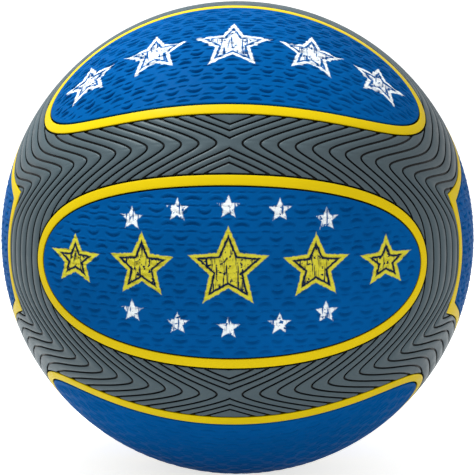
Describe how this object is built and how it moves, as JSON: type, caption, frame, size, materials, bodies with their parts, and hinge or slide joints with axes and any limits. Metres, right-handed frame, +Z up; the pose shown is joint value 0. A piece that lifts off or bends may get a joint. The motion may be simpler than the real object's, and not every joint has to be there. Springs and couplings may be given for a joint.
{
  "type": "basketball",
  "caption": "Inflatable rubber basketball with long oval panels, six-cornered end panels, contrasting trims, treaded bands and a pull-out valve plug.",
  "frame": {"origin": "centre of the ball", "axes": "+X through the centre of the right end panel, front panel facing -Y, valve in the rear panel at +Y, +Z up as in the picture"},
  "size_m": [0.242, 0.2417, 0.242],
  "materials": {
    "panel_blue": "satin, dimpled",
    "trim_yellow": "satin",
    "tread_grey": "matte, grooved",
    "bladder_rubber": "matte",
    "winding_thread": "wound thread",
    "carcass_rubber": "matte",
    "valve_rubber": "matte",
    "plug_rubber": "satin"
  },
  "bodies": {
    "ball": {"panel_front": "panel_blue", "panel_upper_front": "panel_blue", "panel_upper_rear": "panel_blue", "panel_rear": "panel_blue", "panel_lower_rear": "panel_blue", "panel_lower_front": "panel_blue", "end_panel_right": "panel_blue", "end_panel_left": "panel_blue", "trim_front": "trim_yellow", "trim_upper_front": "trim_yellow", "trim_upper_rear": "trim_yellow", "trim_rear": "trim_yellow", "trim_lower_rear": "trim_yellow", "trim_lower_front": "trim_yellow", "end_trim_right": "trim_yellow", "end_trim_left": "trim_yellow", "tread_right": "tread_grey", "tread_left": "tread_grey", "bladder": "bladder_rubber", "thread_winding": "winding_thread", "carcass": "carcass_rubber", "valve_housing": "valve_rubber"},
    "plug": {"valve_plug": "plug_rubber"}
  },
  "joints": [
    {"name": "valve_plug_pull", "type": "slide", "parent": "ball", "child": "plug", "axis": [0, 1, 0], "range_m": [0, 0.022]}
  ]
}
